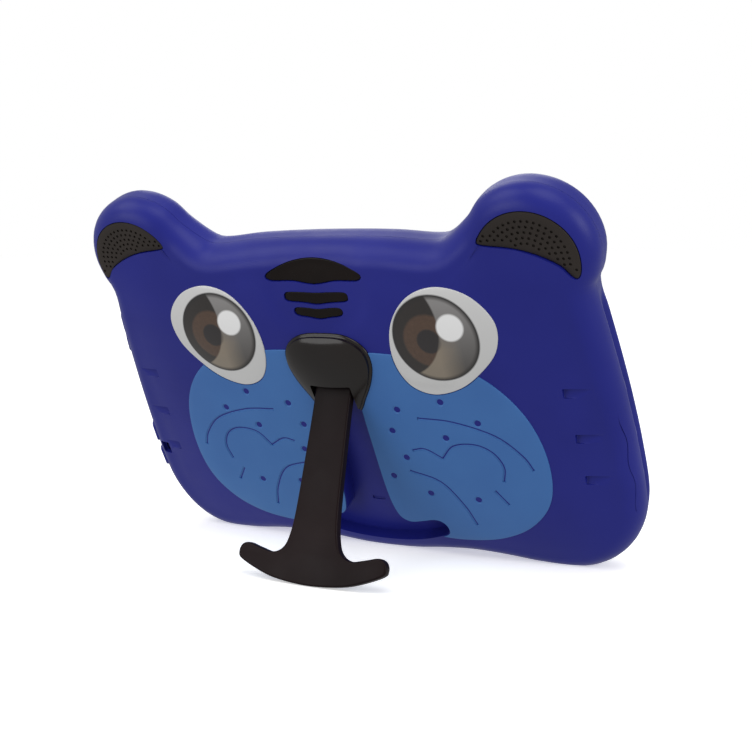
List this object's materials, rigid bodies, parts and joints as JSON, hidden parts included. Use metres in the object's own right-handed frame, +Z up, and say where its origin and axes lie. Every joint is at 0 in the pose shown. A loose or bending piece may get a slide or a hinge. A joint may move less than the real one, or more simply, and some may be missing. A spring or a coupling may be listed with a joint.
{
  "type": "kids tablet",
  "caption": "Rounded child's tablet with a wide screen, animal ears and face on the back, side keys and a folding anchor-footed kickstand.",
  "frame": {"origin": "middle of the footprint, on the surface that the tablet and its kickstand stand on", "axes": "+X along the width, to the right seen from the screen side; the screen faces -Y and leans back towards +Y; +Z up"},
  "size_m": [0.1978, 0.0766, 0.1322],
  "materials": {
    "case_blue": "moulded, satin gloss",
    "cheek_blue": "moulded, fine matt",
    "glass": "polished, printed light grey behind its border",
    "eye_print": "clear-coated print",
    "nose_black": "high gloss",
    "stand_black": "satin",
    "grille": "perforated, matt",
    "screen": "display panel",
    "backlight": "pressed",
    "cell": "foil pouch",
    "steel": "bright",
    "board": "solder mask",
    "part_black": "moulded"
  },
  "bodies": {
    "tablet": {"front_frame": "case_blue", "rear_shell": "case_blue", "cheek_left": "cheek_blue", "cheek_right": "cheek_blue", "touch_glass": "glass", "eye_left": "eye_print", "eye_right": "eye_print", "nose_cap": "nose_black", "stripe_top": "nose_black", "stripe_middle": "nose_black", "stripe_low": "nose_black", "grille_front_left": "grille", "grille_front_right": "grille", "grille_rear_left": "grille", "grille_rear_right": "grille", "lcd_panel": "screen", "backlight_unit": "backlight", "battery": "cell", "chassis_plate": "steel", "hinge_pin": "steel", "pin_block_left": "steel", "pin_block_right": "steel", "friction_washer_left": "steel", "friction_washer_right": "steel", "shield_can": "steel", "board_screw_1": "steel", "board_screw_2": "steel", "board_screw_3": "steel", "board_screw_4": "steel", "usb_port": "steel", "main_board": "board", "memory_chip": "part_black", "camera_module": "part_black", "speaker_left": "part_black", "speaker_right": "part_black", "switch_volume_up": "part_black", "switch_volume_down": "part_black", "switch_power": "part_black", "switch_back": "part_black"},
    "stand": {"stand_leg": "stand_black"},
    "volume_rocker": {"volume_rocker": "case_blue"},
    "power_key": {"power_key": "case_blue"},
    "back_key": {"back_key": "case_blue"}
  },
  "joints": [
    {"name": "stand_hinge", "type": "hinge", "parent": "tablet", "child": "stand", "pos_m": [-0.00044, 0.01458, 0.0673], "axis": [-1, 0, 0], "range_deg": [0, 46.63]},
    {"name": "volume_rock", "type": "hinge", "parent": "tablet", "child": "volume_rocker", "pos_m": [0.09281, 0.0115, 0.08094], "axis": [0.4034, -0.7982, 0.4475], "range_deg": [-2, 2], "stiffness_Nm_per_rad": 0.2},
    {"name": "power_press", "type": "slide", "parent": "tablet", "child": "power_key", "axis": [-0.9131, -0.378, 0.1529], "range_m": [0, 0.0004], "stiffness_N_per_m": 2500},
    {"name": "back_press", "type": "slide", "parent": "tablet", "child": "back_key", "axis": [-0.9132, -0.3539, 0.2022], "range_m": [0, 0.0004], "stiffness_N_per_m": 2500}
  ]
}
